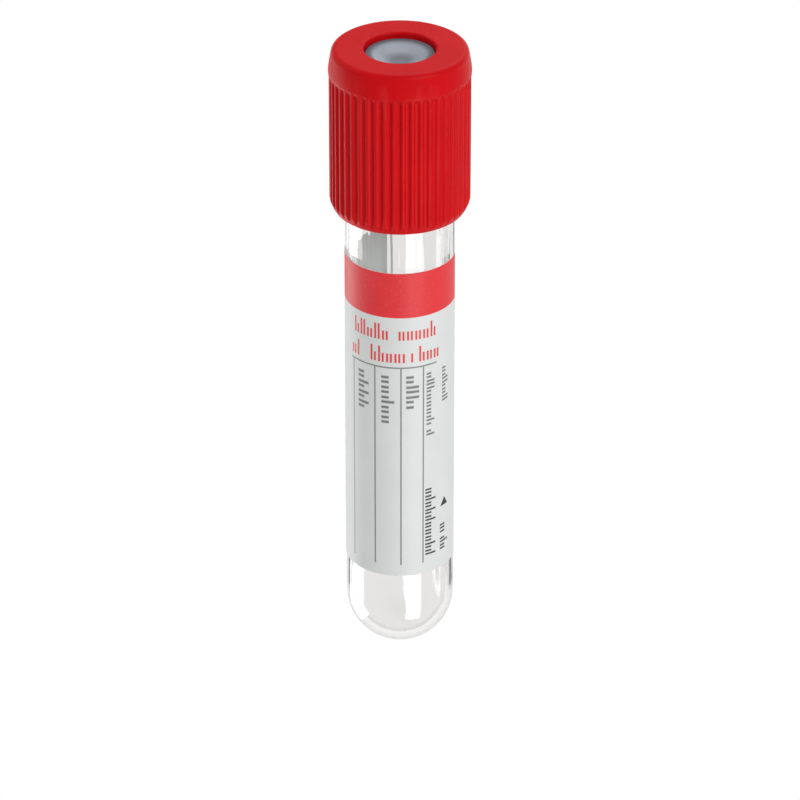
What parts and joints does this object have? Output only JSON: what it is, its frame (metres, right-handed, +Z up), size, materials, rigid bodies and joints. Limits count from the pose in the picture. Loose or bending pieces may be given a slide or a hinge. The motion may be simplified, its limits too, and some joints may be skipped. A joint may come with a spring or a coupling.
{
  "type": "blood collection tube",
  "caption": "Round-bottomed glass blood collection tube with a rubber stopper in a ribbed red cap and a wrap-around label, standing on its cap.",
  "frame": {"origin": "on the surface it stands on, in the middle of the cap's flat face", "axes": "+Z up, from the cap to the closed end; -Y is the front, the middle of the label's text"},
  "size_m": [0.0168, 0.0168, 0.0795],
  "materials": {
    "glass": "clear, polished",
    "rubber": "moulded, dull, dusty grey",
    "cap_plastic": "injection-moulded, soft gloss",
    "label_film": "smooth white film with red and black print"
  },
  "bodies": {
    "closure": {"cap": "cap_plastic", "stopper": "rubber"},
    "vial": {"tube": "glass", "label": "label_film"}
  },
  "joints": [
    {"name": "pull_apart", "type": "slide", "parent": "closure", "child": "vial", "axis": [0, 0, 1], "range_m": [0, 0.02]}
  ]
}
